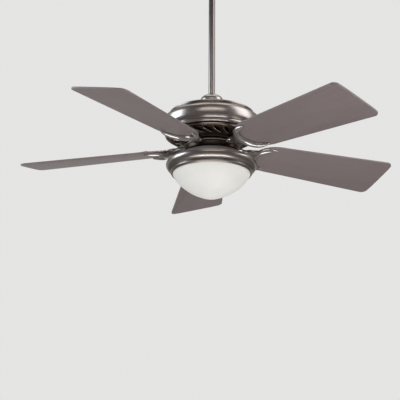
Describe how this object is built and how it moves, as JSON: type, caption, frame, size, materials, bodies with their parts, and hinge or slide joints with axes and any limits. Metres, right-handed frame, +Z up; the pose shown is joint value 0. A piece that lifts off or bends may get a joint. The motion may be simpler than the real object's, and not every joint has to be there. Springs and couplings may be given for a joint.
{
  "type": "ceiling fan with light",
  "caption": "Downrod ceiling fan with pitched blades on cast arms, a domed motor housing with swirl vents and a glass bowl light.",
  "frame": {"origin": "centre of the top face of the ceiling bracket, where it meets the ceiling box", "axes": "+Z up out of the ceiling bracket along the downrod, +Y away from the viewer, +X to the right"},
  "size_m": [1.0944, 1.0727, 0.764],
  "materials": {
    "nickel": "brushed nickel finish with a clear lacquer, soft satin highlights",
    "nickel_dark": "the same plating in the shade of the vents, darker and less polished",
    "blade_silver": "fibreboard blade in a satin silver-grey laminate",
    "zinc": "zinc-plated pressed steel",
    "black_plastic": "moulded black nylon",
    "lamination": "steel laminations with varnished windings",
    "brass": "turned brass",
    "porcelain": "white porcelain lamp holder",
    "bulb_glass": "frosted bulb",
    "opal_glass": "etched opal glass, lit from inside"
  },
  "bodies": {
    "root": {"ceiling_bracket": "zinc", "canopy": "nickel", "canopy_screw_1": "nickel", "canopy_screw_2": "nickel"},
    "hanging": {"hanger_pin": "zinc", "motor_coupling": "zinc", "coupling_pin": "zinc", "coupling_set_screw": "zinc", "motor_shaft": "zinc", "upper_bearing": "zinc", "lower_bearing": "zinc", "light_kit_plate": "zinc", "lamp_holder_strap": "zinc", "pan_screw_1": "zinc", "pan_screw_2": "zinc", "downrod": "nickel", "motor_housing": "nickel", "light_pan": "nickel", "vented_lower_housing": "nickel_dark", "hanger_ball": "black_plastic", "stator": "lamination", "shaft_nut": "brass", "lamp_holder_1": "porcelain", "lamp_holder_2": "porcelain", "bulb_1": "bulb_glass", "bulb_2": "bulb_glass"},
    "spinner": {"rotor": "zinc", "flywheel": "black_plastic", "blade_arm_1": "nickel", "blade_1": "blade_silver", "arm_bolt_1": "nickel", "blade_screw_1_1": "nickel", "blade_screw_1_2": "nickel", "blade_screw_1_3": "nickel", "blade_arm_2": "nickel", "blade_2": "blade_silver", "arm_bolt_2": "nickel", "blade_screw_2_1": "nickel", "blade_screw_2_2": "nickel", "blade_screw_2_3": "nickel", "blade_arm_3": "nickel", "blade_3": "blade_silver", "arm_bolt_3": "nickel", "blade_screw_3_1": "nickel", "blade_screw_3_2": "nickel", "blade_screw_3_3": "nickel", "blade_arm_4": "nickel", "blade_4": "blade_silver", "arm_bolt_4": "nickel", "blade_screw_4_1": "nickel", "blade_screw_4_2": "nickel", "blade_screw_4_3": "nickel", "blade_arm_5": "nickel", "blade_5": "blade_silver", "arm_bolt_5": "nickel", "blade_screw_5_1": "nickel", "blade_screw_5_2": "nickel", "blade_screw_5_3": "nickel"},
    "glass": {"glass_bowl": "opal_glass"},
    "cover": {"coupling_cover": "nickel"}
  },
  "joints": [
    {"name": "ball_swing", "type": "hinge", "parent": "root", "child": "hanging", "pos_m": [0, 0, -0.0412], "axis": [1, 0, 0], "range_deg": [-12, 12]},
    {"name": "fan_spin", "type": "hinge", "parent": "hanging", "child": "spinner", "pos_m": [0, 0, -0.609], "axis": [0, 0, 1], "continuous": true},
    {"name": "glass_twist", "type": "hinge", "parent": "hanging", "child": "glass", "pos_m": [0, 0, -0.687], "axis": [0, 0, 1], "range_deg": [0, 30]},
    {"name": "cover_lift", "type": "slide", "parent": "hanging", "child": "cover", "axis": [0, 0, 1], "range_m": [0, 0.12]}
  ]
}
